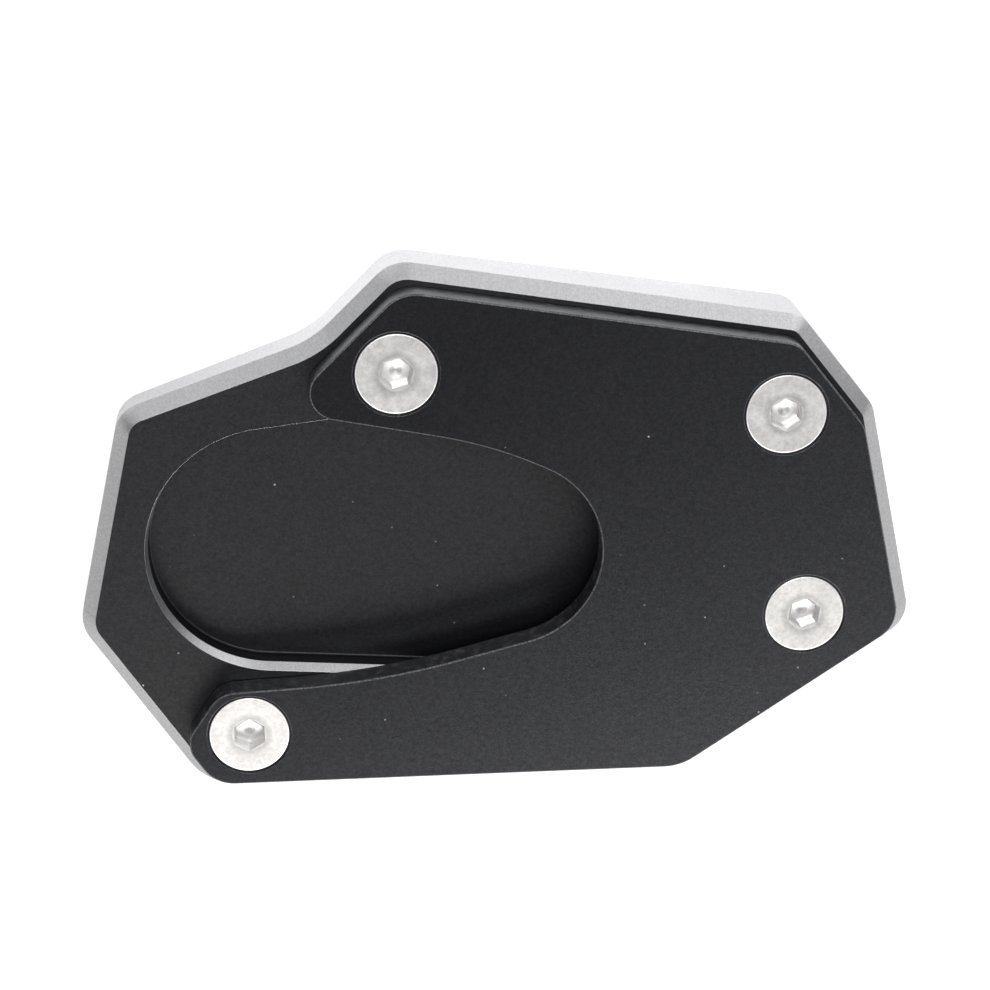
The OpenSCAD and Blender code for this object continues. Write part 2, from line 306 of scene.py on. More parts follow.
def egg(centre, radius, heel, distance, turn, inset):
    """Two circles and the straight lines that touch both, moved inwards."""
    half = math.acos((radius - heel) / distance)
    wide_end = centre + distance * heading(turn)
    return np.array(arc(wide_end, heel - inset, turn - half, 2 * half)
                    + arc(centre, radius - inset, turn + half, math.tau - 2 * half))


def angles_round(flats):
    return [math.tau * k / flats for k in range(flats)]


def circle(centre, radius, flats):
    return np.array([centre + radius * heading(angle) for angle in angles_round(flats)])


def softened(profile, radius, steps):
    """Open profile whose inner corners are rounded."""
    profile = [np.array(p, float) for p in profile]
    out = [profile[0]]
    for a, b, c in zip(profile, profile[1:], profile[2:]):
        out += arc_at(b, unit(b - a), bend_between(b - a, c - b), radius, steps)
    return out + [profile[-1]]


def quarter_round(radius, steps):
    """How far a quarter of a circle stays from both sides of the corner that it rounds."""
    angles = [math.pi / 2 * k / steps for k in range(steps + 1)]
    return [(radius * (1 - math.sin(a)), radius * (1 - math.cos(a))) for a in angles]


# The shell

# Triangles below this area, in square metres, are left out
SMALLEST_AREA = 1e-16
# Over 50, large faces decide how their corners are shaded
LARGE_FACE_WEIGHT = 90


def new_object(name, data):
    obj = bpy.data.objects.new(name, data)
    bpy.context.scene.collection.objects.link(obj)
    return obj


class Shell:
    """Closed surface made of rings, the bands between them and flat ends."""

    def __init__(self):
        self.points, self.faces, self.finishes, self.uvs = [], [], [], []

    def ring(self, points):
        first = len(self.points)
        self.points += [tuple(p) for p in points]
        return list(range(first, len(self.points)))

    def loop(self, plan, z):
        """A loop is a plan and its ring."""
        return plan, self.ring(at_level(plan, z))

    def follow(self, profile, plan_at):
        """Loops along a profile of distances and heights."""
        return [self.loop(plan_at(distance), z) for distance, z in profile]

    def bands(self, loops, finishes, inward=False):
        """Quads from each loop to the next, which face right of the walk unless inward."""
        v = 0.0
        for (_, low), (_, high), finish in zip(loops, loops[1:], finishes):
            if inward:
                low, high = high, low
            rise = math.dist(self.points[low[0]], self.points[high[0]])
            u = 0.0
            for a, b, c, d in zip(low, low[1:] + low[:1], high[1:] + high[:1], high):
                next_u = u + math.dist(self.points[a], self.points[b])
                self.faces.append((a, b, c, d))
                self.uvs.append([(u, v), (next_u, v), (next_u, v + rise), (u, v + rise)])
                self.finishes.append(finish)
                u = next_u
            v += rise

    def flat(self, loops, finish=BLACK, up=True):
        """Flat end between an outer loop and its holes."""
        ids = [i for _, ring in loops for i in ring]
        spots = [p for plan, _ in loops for p in plan]
        outlines = [[Vector((*p, 0.0)) for p in plan] for plan, _ in loops]
        for corners in tessellate_polygon(outlines):
            a, b, c = (np.array(spots[k]) for k in corners)
            area = cross(b - a, c - a)
            if abs(area) < SMALLEST_AREA:
                continue
            if (area > 0) != up:
                corners = corners[::-1]
            self.faces.append(tuple(ids[k] for k in corners))
            self.uvs.append([tuple(spots[k]) for k in corners])
            self.finishes.append(finish)

    def piece(self, name, materials):
        mesh = bpy.data.meshes.new(name)
        mesh.from_pydata(self.points, [], self.faces)
        layer = mesh.uv_layers.new(name="machining")
        flat_uvs = [c / MM for uv in self.uvs for pair in uv for c in pair]
        layer.data.foreach_set("uv", flat_uvs)
        for material in materials:
            mesh.materials.append(material)
        mesh.polygons.foreach_set("material_index", self.finishes)
        mesh.polygons.foreach_set("use_smooth", [True] * len(self.faces))
        mesh.update()
        mesh.validate()
        return new_object(name, mesh)


# Shared sizes

# A thread rises this much faster than a sharp one, which cuts its crests and roots
FLANK_RISE = 1.25


def settings():
    return bpy.context.scene.foot_enlarger


def outline_points():
    outline = settings().outline
    return [np.array(getattr(outline, name)) for name in OutlineSettings.__annotations__
            if name.startswith("corner")]


def screw_places():
    points, screws = outline_points(), settings().screws
    near = ((BACK_LEFT, screws.back_left_edges), (BACK_RIGHT, screws.back_right_edges),
            (RIGHT, screws.right_edges), (FRONT_LEFT, screws.front_left_edges))
    return [inset_corner(points, corner, edges[1], edges[0]) for corner, edges in near]


def clamp_top():
    """Upper face of the clamp plate above the deck."""
    return settings().clamp_plate.gap + settings().clamp_plate.thickness


def deck_matrix():
    """From the plane of the base plate's top face to the part's own frame."""
    base = settings().base_plate
    return (Matrix.Translation((0.0, 0.0, base.deck_height))
            @ Matrix.Rotation(-base.wedge_angle, 4, "Y"))


def ground_z(p, height=0.0):
    """Level of the ground, or of a height above it, at a point of the deck's plane."""
    base = settings().base_plate
    rise = height - base.deck_height - p[0] * math.sin(base.wedge_angle)
    return rise / math.cos(base.wedge_angle)


def at_level(plan, z):
    return [(*p, z) for p in plan]


def at_ground(plan, height=0.0):
    return [(*p, ground_z(p, height)) for p in plan]


def thread_wave(share_of_pitch):
    """Height of a thread with cut crests and roots, from 0 to 1."""
    sharp = 1 - abs(2 * (share_of_pitch % 1.0) - 1)
    return min(1.0, max(0.0, 0.5 + FLANK_RISE * (sharp - 0.5)))


def thread_radius(screws, angle, z):
    """Radius of a screw's thread at an angle and a depth below its head."""
    wave = thread_wave(z / screws.pitch - angle / math.tau)
    return screws.diameter / 2 - screws.thread_depth * (1 - wave)


def dress(obj, node):
    """The piece takes the node's place and its body."""
    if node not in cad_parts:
        raise RuntimeError("the frame has no node " + node)
    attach(obj, "root")
    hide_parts(node)


# Materials

# Nearly all of a noise lies between these values
NOISE = (0.3, 0.7)
NONE_TO_ALL = (0.0, 1.0)
# A speck of dust fades between these distances from the middle of its cell
SPECK_EDGE = (0.02, 0.065)
# Specks grow from nothing to full between these values of the cells' random number
SPECK_CELLS = (0.55, 0.97)


class NodeSheet:
    """Short hand for a node tree."""

    def __init__(self, tree):
        self.tree = tree

    def feed(self, socket, value):
        """A socket takes a link from another socket or a plain value."""
        if isinstance(value, bpy.types.NodeSocket):
            self.tree.links.new(value, socket)
        else:
            socket.default_value = value

    def fill(self, node, **values):
        """Sets a node's own values and its inputs, named with _ for a space."""
        for key, value in values.items():
            if hasattr(node, key):
                setattr(node, key, value)
            else:
                self.feed(node.inputs[key.replace("_", " ")], value)
        return node

    def node(self, kind, **values):
        return self.fill(self.tree.nodes.new(kind), **values)

    def own(self, name, **values):
        """Fills a node that the tree came with."""
        return self.fill(self.tree.nodes[name], **values)

    def made(self, kind, *values, **named):
        """First output of a new node, with inputs filled in order or by name."""
        node = self.node(kind, **named)
        for socket, value in zip(node.inputs, values):
            self.feed(socket, value)
        return node.outputs[0]

    def computed(self, operation, *values):
        return self.made("ShaderNodeMath", *values, operation=operation)

    def mapped(self, source, scale=(1.0, 1.0, 1.0)):
        """Coordinates in features per metre."""
        whole = self.node("ShaderNodeTexCoord").outputs[source]
        return self.made("ShaderNodeMapping", Vector=whole, Scale=scale)

    def split(self, vector):
        return self.node("ShaderNodeSeparateXYZ", Vector=vector).outputs

    def noise(self, vector, scale, detail=2.0, roughness=0.5):
        return self.made("ShaderNodeTexNoise", Vector=vector, Scale=scale, Detail=detail,
                         Roughness=roughness)

    def spread(self, value, source, target):
        """Maps one range of a value to another, and stops at its ends."""
        return self.made("ShaderNodeMapRange", Value=value, From_Min=source[0],
                         From_Max=source[1], To_Min=target[0], To_Max=target[1])

    def mixed(self, amount, one, other):
        """Colour between two, each a colour or a socket."""
        mix = self.node("ShaderNodeMix", data_type="RGBA")
        ends = [socket for socket in mix.inputs if socket.type == "RGBA"]
        for socket, value in zip(ends, (one, other)):
            is_link = isinstance(value, bpy.types.NodeSocket)
            self.feed(socket, value if is_link else (*value, 1.0))
        self.feed(mix.inputs[0], amount)
        return next(socket for socket in mix.outputs if socket.type == "RGBA")

    def dusted(self, vector, shade, dust, cells):
        """A shade with a fine speck in a few of the cells."""
        specks = self.node("ShaderNodeTexVoronoi", Scale=cells, Vector=vector).outputs
        spot = self.spread(specks["Distance"], SPECK_EDGE, (1.0, 0.0))
        pick = self.made("ShaderNodeSeparateColor", Color=specks["Color"])
        rare = self.spread(pick, SPECK_CELLS, NONE_TO_ALL)
        return self.mixed(self.computed("MULTIPLY", spot, rare), shade, dust)

    def bump(self, height, depth, strength, under=None):
        values = {"Height": height, "Strength": strength, "Distance": depth}
        if under is not None:
            values["Normal"] = under
        return self.made("ShaderNodeBump", **values)


def new_material(name):
    material = bpy.data.materials.new(name)
    material.use_nodes = True
    return material, NodeSheet(material.node_tree)


def shaded(colour, factor):
    return [min(1.0, factor * c) for c in colour]


def satin_black(name, roughness, tint, index=1.45, painted_sheen=0.0, cells=340.0, scuffs=0.0):
    """Bead-blasted and black anodised aluminium with a fine grain and a little dust."""
    finish = settings().finishes
    material, sheet = new_material(name)
    here = sheet.mapped("Object")
    grain = sheet.noise(here, 5200.0, roughness=0.6)
    mottle = sheet.noise(here, 1500.0, detail=3.0, roughness=0.65)
    cloud = sheet.spread(sheet.noise(here, 260.0, detail=3.0), NOISE, NONE_TO_ALL)
    shade = sheet.mixed(cloud, shaded(finish.anodised, 0.86), shaded(finish.anodised, 1.14))
    if scuffs:
        rubs = sheet.noise(here, 800.0, detail=5.0, roughness=0.8)
        shade = sheet.mixed(sheet.spread(rubs, (0.5, 0.75), (0.0, scuffs)), shade, finish.worn)
    place_of = sheet.split(here)
    # Painted sheen: the reflection is made stronger towards the front right, by the given share
    to_back_left = sheet.computed("MULTIPLY_ADD", place_of["X"], -1.0, place_of["Y"])
    painted_sheen_ramp = sheet.spread(to_back_left, (-0.07, 0.04), (1.0 + 2 * painted_sheen, 1.0 - painted_sheen))
    sheen = sheet.computed("MULTIPLY", sheet.spread(grain, NOISE, (0.38, 0.62)), painted_sheen_ramp)
    mottled = sheet.spread(mottle, (0.32, 0.68), (0.82, 1.18))
    coarse = sheet.bump(mottle, depth=0.00005, strength=0.35)
    sheet.own(
        "Principled BSDF", Metallic=0.0, IOR=index, Specular_Tint=(*tint, 1.0),
        Base_Color=sheet.dusted(here, shade, finish.dust, cells),
        Specular_IOR_Level=sheet.computed("MULTIPLY", sheen, mottled),
        Roughness=sheet.spread(grain, NOISE, (roughness - 0.02, roughness + 0.04)),
        Normal=sheet.bump(grain, depth=0.00003, strength=0.4, under=coarse),
    )
    return material


def base_black(name):
    return satin_black(name, settings().finishes.base_roughness, (0.97, 0.98, 1.0))


def clamp_black(name):
    """Painted sheen: its reflection grows a little towards the front of the wide end."""
    return satin_black(name, settings().finishes.clamp_roughness, CLAMP_TINT, painted_sheen=0.26)


def clamp_wall(name):
    """The wall is milled, so it shines more than the blasted faces."""
    return satin_black(name, settings().finishes.clamp_roughness, CLAMP_TINT, index=2.3,
                       cells=900.0, scuffs=0.4)


def worn_edge(name):
    """Edge of the anodised plate that is rubbed down to the metal in places."""
    finish = settings().finishes
    material, sheet = new_material(name)
    broken = sheet.noise(sheet.mapped("Object"), 3400.0, detail=3.0, roughness=0.7)
    rubbed = sheet.spread(broken, (0.40, 0.64), (0.12, 0.7))
    sheet.own("Principled BSDF", Metallic=rubbed, Roughness=0.42,
              Base_Color=sheet.mixed(rubbed, finish.anodised, finish.worn))
    return material


def bare_aluminium(name):
    """Milled edge with fine marks across the chamfer."""
    finish = settings().finishes
    material, sheet = new_material(name)
    here = sheet.mapped("Object")
    marks = sheet.noise(sheet.mapped("UV", (7.0, 0.25, 1.0)), 1.0, detail=3.0, roughness=0.6)
    cloud = sheet.noise(here, 90.0)
    grain = sheet.noise(here, 3000.0, roughness=0.6)
    milled = sheet.mixed(sheet.spread(marks, (0.35, 0.65), NONE_TO_ALL),
                         shaded(finish.bare, 0.96), shaded(finish.bare, 1.03))
    roughness = finish.bare_roughness
    sheet.own(
        "Principled BSDF", Metallic=1.0,
        Base_Color=sheet.mixed(sheet.spread(grain, (0.35, 0.65), (0.0, 0.26)), milled,
                               shaded(finish.bare, 0.35)),
        Roughness=sheet.spread(cloud, NOISE, (roughness - 0.04, roughness + 0.05)),
        Normal=sheet.bump(grain, depth=0.00002, strength=0.35),
    )
    return material


def painted_highlight_steel(name):
    """Lighter copy of the screws' steel: a painted highlight on the sockets and the heads' edges."""
    material, sheet = new_material(name)
    sheet.own("Principled BSDF", Metallic=1.0, Roughness=0.38,
              Base_Color=(*settings().finishes.painted_highlight_steel, 1.0))
    return material


def stainless_steel(name):
    """Tumbled stainless steel with faint turning marks round the axis."""
    finish = settings().finishes
    material, sheet = new_material(name)
    here = sheet.mapped("Object")
    mottle = sheet.noise(here, 1500.0, detail=4.0, roughness=0.7)
    blotch = sheet.noise(here, 420.0)
    turning = sheet.noise(sheet.mapped("UV", (0.02, 9.0, 1.0)), 1.0)
    shade = sheet.mixed(sheet.spread(mottle, (0.38, 0.62), NONE_TO_ALL),
                        shaded(finish.steel, 0.90), shaded(finish.steel, 1.10))
    # Painted shade at the socket's bottom, and a darker ring round its mouth, from the marked points
    pressed = sheet.node("ShaderNodeAttribute", attribute_name="pressed").outputs["Fac"]
    roughness = finish.steel_roughness
    grain = sheet.bump(mottle, depth=0.00004, strength=0.4)
    sheet.own(
        "Principled BSDF", Metallic=1.0,
        Base_Color=sheet.mixed(sheet.spread(pressed, NONE_TO_ALL, (0.0, 0.42)), shade,
                               shaded(finish.steel, 0.3)),
        Roughness=sheet.spread(blotch, NOISE, (roughness - 0.03, roughness + 0.04)),
        Normal=sheet.bump(turning, depth=0.00001, strength=0.3, under=grain),
    )
    return material


def shared_material(name, make):
    return bpy.data.materials.get(name) or make(name)


# Pieces

BASE_HOLE_FLATS = 48
CLAMP_HOLE_FLATS = 120
SCREW_FLATS = 96
# Rings of a modelled thread in each turn of it
HOLE_RINGS = 8
SCREW_RINGS = 10
# Depth of the lead-in at both ends of a threaded hole
HOLE_LEAD = 0.35 * MM
# Room that a rounding or a bevel takes, as a multiple of its size
EDGE_ROOM = 1.3
# Depth over which a socket's walls turn into its floor
FLOOR_ROUNDING = 0.06 * MM
# The modelled thread keeps this far from the cone and from the tip's face
THREAD_START, THREAD_END = 0.15 * MM, 0.05 * MM
# Sharper turns than this stay sharp on the screws
SHARP_ANGLE = math.radians(24)


def finish_plate(shell, node, materials):
    """Makes the piece of a plate that was drawn in the plane of the deck."""
    obj = shell.piece(node + "_finished", [shared_material(*m) for m in materials.items()])
    obj.data.transform(deck_matrix())
    # Large flats keep their own direction and only the roundings turn
    weighted = obj.modifiers.new("Even shading", "WEIGHTED_NORMAL")
    weighted.mode = "FACE_AREA"
    weighted.weight = LARGE_FACE_WEIGHT
    weighted.keep_sharp = True
    dress(obj, node)


class FOOT_OT_base_plate(bpy.types.Operator):
    """Makes the wedge-shaped base plate with its pocket and threaded holes"""

    bl_idname = "foot_enlarger.base_plate"
    bl_label = "Base Plate"

    def execute(self, context):
        base, screws = settings().base_plate, settings().screws
        points, radii = outline_points(), settings().outline.radii
        ring_width = 3 * base.arris
        shell = Shell()

        def outline_at(inset):
            return rounded(points, radii, inset)

        # Rounded ground edge
        outside = []
        for inset, height in quarter_round(base.ground_break, 5):
            plan = outline_at(inset)
            outside.append((plan, shell.ring(at_ground(plan, height))))

        # Wall, bare chamfer and deck; the first point only gives the wall's direction
        chamfer = base.edge_chamfer
        profile = softened([(0.0, -2 * chamfer), (0.0, -chamfer), (chamfer, 0.0),
                            (chamfer + ring_width, 0.0)], base.arris, 4)[1:]
        outside += shell.follow(profile, outline_at)
        on_deck = 3
        shell.bands(outside, [BARE] * (len(outside) - 1 - on_deck) + [BLACK] * on_deck)

        # Pocket: bare rim, black wall, rounded foot of the wall
        def egg_at(inset):
            share_of_rim = min(1.0, max(0.0, inset / base.rim_width))
            centre = np.array(base.pocket_centre) + share_of_rim * np.array(base.rim_shift)
            return egg(centre, base.pocket_radius, base.pocket_heel, base.pocket_length,
                       base.pocket_angle, inset)

        down = softened([(-ring_width, 0.0), (0.0, 0.0), (base.rim_width, -base.rim_depth),
                         (base.rim_width, -2 * base.rim_depth)], base.arris / 4, 3)
        # A ring just before the corner keeps the deck's shading flat up to it
        down.insert(1, np.array((-0.4 * base.arris, 0.0)))
        foot = [(base.rim_width + inset, height - base.pocket_depth)
                for height, inset in quarter_round(base.pocket_fillet, 6)]
        pocket = shell.follow(down[:-1] + foot, egg_at)
        on_deck = 2
        on_rim = len(down) - 2 - on_deck
        shell.bands(pocket, [BLACK] * on_deck + [BARE] * on_rim + [BLACK] * len(foot))
        shell.flat([pocket[-1]])

        # Threaded holes, in step with their screws' threads
        deck_holes, ground_holes = [], []
        head_top = clamp_top() - screws.head_sink
        for middle, turn in zip(screw_places(), screws.turns):
            bore = circle(middle, screws.diameter / 2, BASE_HOLE_FLATS)
            low = max(ground_z(p) for p in bore)
            mouth = circle(middle, screws.diameter / 2 + base.bore_gap + HOLE_LEAD,
                           BASE_HOLE_FLATS)
            walk = [shell.loop(mouth, 0.0)]
            depth = HOLE_LEAD
            while depth < -low - HOLE_LEAD:
                plan = [middle + heading(a) * (base.bore_gap + thread_radius(
                    screws, a - turn, head_top + depth)) for a in angles_round(BASE_HOLE_FLATS)]
                walk.append(shell.loop(plan, -depth))
                depth += screws.pitch / HOLE_RINGS
            walk.append((mouth, shell.ring(at_ground(mouth))))
            shell.bands(walk, [BLACK] * len(walk))
            deck_holes.append(walk[0])
            ground_holes.append(walk[-1])

        shell.flat([outside[-1], pocket[0], *deck_holes])
        shell.flat([outside[0], *ground_holes], up=False)
        finish_plate(shell, "base_plate", {
            "base plate black": base_black, "bare machined aluminium": bare_aluminium,
        })
        return {"FINISHED"}


def clamp_outline():
    """Corners of the clamp plate and their radii, tied to the base plate and the screws."""
    clamp, base = settings().clamp_plate, settings().base_plate
    points, radii = outline_points(), settings().outline.radii
    at_back, _, _, at_front = screw_places()
    back, front = base.edge_chamfer + clamp.step, base.edge_chamfer + clamp.step_front
    centre = np.array(clamp.cutout_centre)
    back_arm = shifted((at_back, -clamp.back_arm_angle), -clamp.back_arm_wall)
    cutout_back = shifted((centre, -clamp.cutout_back_angle), clamp.cutout_radius)
    cutout_front = shifted((centre, clamp.cutout_front_angle), -clamp.cutout_radius)
    front_arm = shifted((at_front, clamp.front_arm_angle), clamp.front_arm_wall)
    arm_end = shifted((at_front, clamp.front_arm_end_angle), clamp.front_arm_end_wall)
    walk = [side(points, i, front if i in (FRONT_LEFT, FRONT_RIGHT) else back)
            for i in range(END, BACK_LEFT + 1)]
    walk += [back_arm, cutout_back, cutout_front, front_arm, arm_end]
    corners = [meet(one, other) for one, other in zip(walk, walk[1:] + walk[:1])]
    corner_radii = [
        clamp.corner_radii[1], radii[FRONT_RIGHT], radii[RIGHT], radii[BACK_LOW],
        radii[BACK_RIGHT], clamp.corner_radii[0], clamp.back_arm_radius, clamp.cutout_bends[0],
        clamp.cutout_radius, clamp.cutout_bends[1], *clamp.front_arm_radii,
    ]
    return corners, corner_radii


class FOOT_OT_clamp_plate(bpy.types.Operator):
    """Makes the clamp plate with its two arms, cut-out and countersunk holes"""

    bl_idname = "foot_enlarger.clamp_plate"
    bl_label = "Clamp Plate"

    def execute(self, context):
        clamp, screws = settings().clamp_plate, settings().screws
        corners, radii = clamp_outline()
        low, high, edge_break = clamp.gap, clamp_top(), clamp.edge_break
        arris = settings().base_plate.arris / 2
        shell = Shell()
        profile = softened(
            [(edge_break + arris, low), (edge_break, low), (0.0, low + edge_break),
             (0.0, high - edge_break), (edge_break, high), (edge_break + arris, high)], arris, 3)
        outside = shell.follow(profile, lambda inset: rounded(corners, radii, inset))
        # Lower edge break, its worn rounding, milled wall, worn upper edge break
        shell.bands(outside, [BLACK] * 5 + [WORN] * 3 + [WALL] + [BLACK] * 3 + [WORN]
                    + [BLACK] * 4)

        top_loops, low_loops = [outside[-1]], [outside[0]]
        edge = screws.head_break + screws.head_rim
        mouth = (screws.head_diameter / 2 + screws.head_sink + edge
                 + screws.seat_gap * math.sqrt(2))
        neck = screws.diameter / 2 + clamp.hole_gap
        hole = softened(
            [(mouth + EDGE_ROOM * arris, high), (mouth, high), (neck, high - mouth + neck),
             (neck, low), (neck + 3 * arris, low)], 2 * arris, 3)
        for middle in screw_places():
            walk = shell.follow(hole, lambda radius: circle(middle, radius, CLAMP_HOLE_FLATS))
            shell.bands(walk, [BLACK] * 2 + [WORN] + [BLACK] * (len(walk) - 4))
            top_loops.append(walk[0])
            low_loops.append(walk[-1])

        shell.flat(top_loops)
        shell.flat(low_loops, up=False)
        finish_plate(shell, "clamp_plate", {
            "clamp plate black": clamp_black, "bare machined aluminium": bare_aluminium,
            "worn edge": worn_edge, "clamp plate wall": clamp_wall,
        })
        return {"FINISHED"}


def one_screw():
    """One screw with the middle of its head's top at the origin, pointing down."""
    screws = settings().screws
    shell = Shell()
    head, shank, half_flat = screws.head_diameter / 2, screws.diameter / 2, screws.socket / 2
    mouth = half_flat / math.cos(math.radians(30)) + EDGE_ROOM * screws.socket_bevel
    edge = screws.head_break + screws.head_rim
    cone_end = edge + head - shank
    land = head - mouth
    dish, bevel, floor = screws.dish, screws.socket_bevel, screws.socket_depth
    angles = angles_round(SCREW_FLATS)
    hexagon = np.array([half_flat / math.cos(a % math.radians(60) - math.radians(30))
                        for a in angles])

    def plan_at(radius):
        """Plan with one radius or one for each angle."""
        radii = np.broadcast_to(radius, SCREW_FLATS)
        return [heading(a) * r for a, r in zip(angles, radii)]

    # Radius, depth and the finish from there on: up the socket, over the head, down the cone; the
    # lighter finish is a painted highlight on the socket's floor, its lead-in and the head's edge
    steps = [
        (0.02 * half_flat, floor + screws.drill_point, SATIN),
        (0.45 * half_flat, floor + FLOOR_ROUNDING / 2, PAINTED_HIGHLIGHT),
        (0.97 * hexagon, floor, PAINTED_HIGHLIGHT),
        (hexagon, floor - FLOOR_ROUNDING, SATIN),
        (hexagon, dish + bevel, PAINTED_HIGHLIGHT),
        (hexagon + bevel, dish, SATIN),
        (mouth, dish, SATIN),
        (mouth + 0.3 * land, 0.2 * dish, SATIN),
        (mouth + 0.4 * land, 0.0, SATIN),
        (head - EDGE_ROOM * screws.head_break, 0.0, PAINTED_HIGHLIGHT),
    ]
    steps += [(head - inset, depth, PAINTED_HIGHLIGHT)
              for inset, depth in quarter_round(screws.head_break, 4)]
    steps += [(head, edge, SATIN), (shank, cone_end, SATIN)]
    depth = cone_end + THREAD_START
    while depth < screws.length - THREAD_END:
        tip = shank - max(0.0, depth - screws.length + screws.tip_break)
        thread = [min(tip, thread_radius(screws, a, depth)) for a in angles]
        steps.append((thread, depth, SATIN))
        depth += screws.pitch / SCREW_RINGS
    steps.append((shank - screws.tip_break, screws.length, SATIN))
    walk = shell.follow([(radius, -depth) for radius, depth, _ in steps], plan_at)
    shell.bands(walk, [finish for _, _, finish in steps], inward=True)
    shell.flat([walk[-1]], SATIN, up=False)
    shell.flat([walk[0]], SATIN)
    screw = shell.piece("one_screw", [])

    # Painted shade at the bottom of the socket's drill point, and a darker ring round the socket's
    # mouth
    bottom, round_mouth = walk[0][1], walk[6][1]
    darker_points = {*bottom, *round_mouth}
    pressed = screw.data.attributes.new("pressed", "FLOAT", "POINT")
    pressed.data.foreach_set("value", [float(i in darker_points) for i in range(len(shell.points))])
    # Faces that take the lighter steel, a painted highlight
    bright = screw.data.attributes.new("bright", "BOOLEAN", "FACE")
    bright.data.foreach_set("value", [finish == PAINTED_HIGHLIGHT for finish in shell.finishes])
    return screw


def screw_set_tree():
    """Places a screw at each point, stands it on the deck's slope and turns its hexagon."""
    tree = bpy.data.node_groups.new("Screw set", "GeometryNodeTree")
    for name, kind in (("Places", "Geometry"), ("Screw", "Object"), ("Deck normal", "Vector"),
                       ("Sink", "Float"), ("Satin", "Material"), ("Bright", "Material")):
        tree.interface.new_socket(name, in_out="INPUT", socket_type="NodeSocket" + kind)
    tree.interface.new_socket("Screws", in_out="OUTPUT", socket_type="NodeSocketGeometry")
    sheet = NodeSheet(tree)
    given = sheet.node("NodeGroupInput").outputs
    screw = sheet.node("GeometryNodeObjectInfo", Object=given["Screw"]).outputs["Geometry"]
    turn = sheet.made("GeometryNodeInputNamedAttribute", data_type="FLOAT", Name="turn")
    upright = sheet.made("FunctionNodeAlignRotationToVector", axis="Z",
                         Vector=given["Deck normal"])
    spin = sheet.made("FunctionNodeAxisAngleToRotation", Axis=(0.0, 0.0, 1.0), Angle=turn)
    both = sheet.made("FunctionNodeRotateRotation", rotation_space="LOCAL", Rotation=upright,
                      Rotate_By=spin)
    placed = sheet.made("GeometryNodeInstanceOnPoints", Points=given["Places"], Instance=screw,
                        Rotation=both)
    down = sheet.made("ShaderNodeCombineXYZ", Z=sheet.computed("MULTIPLY", given["Sink"], -1.0))
    sunk = sheet.made("GeometryNodeTranslateInstances", Local_Space=True, Instances=placed,
                      Translation=down)
    solid = sheet.made("GeometryNodeRealizeInstances", Geometry=sunk)
    painted = sheet.made("GeometryNodeSetMaterial", Geometry=solid, Material=given["Satin"])
    # Faces marked for the painted highlight take the lighter steel
    cut = sheet.made("GeometryNodeInputNamedAttribute", data_type="BOOLEAN", Name="bright")
    with_painted_highlight = sheet.made("GeometryNodeSetMaterial", Geometry=painted, Selection=cut,
                          Material=given["Bright"])
    sheet.node("NodeGroupOutput", Screws=with_painted_highlight)
    return tree


class FOOT_OT_screws(bpy.types.Operator):
    """Makes the four countersunk screws with Geometry Nodes"""

    bl_idname = "foot_enlarger.screws"
    bl_label = "Screws"

    def execute(self, context):
        screws = settings().screws
        satin = shared_material("tumbled stainless steel", stainless_steel)
        bright = shared_material("steel with painted highlight", painted_highlight_steel)
        screw = one_screw()
        deck = deck_matrix()
        places = bpy.data.meshes.new("clamp_screws_finished")
        places.from_pydata(
            [deck @ Vector((*p, clamp_top())) for p in screw_places()], [], [])
        turn = places.attributes.new("turn", "FLOAT", "POINT")
        turn.data.foreach_set("value", list(screws.turns))
        obj = new_object("clamp_screws_finished", places)

        tree = screw_set_tree()
        modifier = obj.modifiers.new("Screw set", "NODES")
        modifier.node_group = tree
        normal = deck.to_3x3() @ Vector((0.0, 0.0, 1.0))
        given = {"Screw": screw, "Deck normal": tuple(normal), "Sink": screws.head_sink,
                 "Satin": satin, "Bright": bright}
        for item in tree.interface.items_tree:
            if item.in_out == "INPUT" and item.name in given:
                modifier[item.identifier] = given[item.name]
        context.view_layer.update()
        graph = context.evaluated_depsgraph_get()
        made = bpy.data.meshes.new_from_object(obj.evaluated_get(graph), depsgraph=graph)
        if not made.polygons:
            raise RuntimeError("the screw set came out empty")
        obj.modifiers.remove(modifier)
        obj.data = made
        bpy.data.objects.remove(screw)
        made.polygons.foreach_set("use_smooth", [True] * len(made.polygons))
        made.set_sharp_from_angle(angle=SHARP_ANGLE)
        dress(obj, "clamp_screws")
        return {"FINISHED"}


# Stage

PART_MIDDLE = Vector((0.0, 0.0, 0.01))


def floor_material():
    """Plain pale floor: white to the camera and see-through from below; in gloss it glows, brighter
    behind the part than before it, a painted reflection.
    """
    studio = settings().studio
    material, sheet = new_material("pale floor")
    matt = sheet.own("Principled BSDF", Base_Color=(*studio.floor, 1.0), Roughness=0.9,
                     Specular_IOR_Level=0.1)
    ray = sheet.node("ShaderNodeLightPath").outputs
    place_of = sheet.split(sheet.mapped("Object"))
    sideways = sheet.computed("ABSOLUTE", place_of["X"])
    behind = sheet.computed("MULTIPLY_ADD", sideways, -0.5, place_of["Y"])
    in_gloss = sheet.spread(behind, (-0.03, 0.02), (studio.floor_before, studio.floor_behind))
    mirrored = sheet.computed("MULTIPLY", ray["Is Glossy Ray"], in_gloss)
    strength = sheet.computed("MULTIPLY_ADD", ray["Is Camera Ray"], studio.floor_seen, mirrored)
    glow = sheet.made("ShaderNodeEmission", Color=WHITE, Strength=strength)
    both = sheet.made("ShaderNodeAddShader", matt.outputs[0], glow)
    from_below = sheet.node("ShaderNodeNewGeometry").outputs["Backfacing"]
    clear = sheet.made("ShaderNodeBsdfTransparent")
    seen = sheet.made("ShaderNodeMixShader", from_below, both, clear)
    sheet.own("Material Output", Surface=seen)
    return material


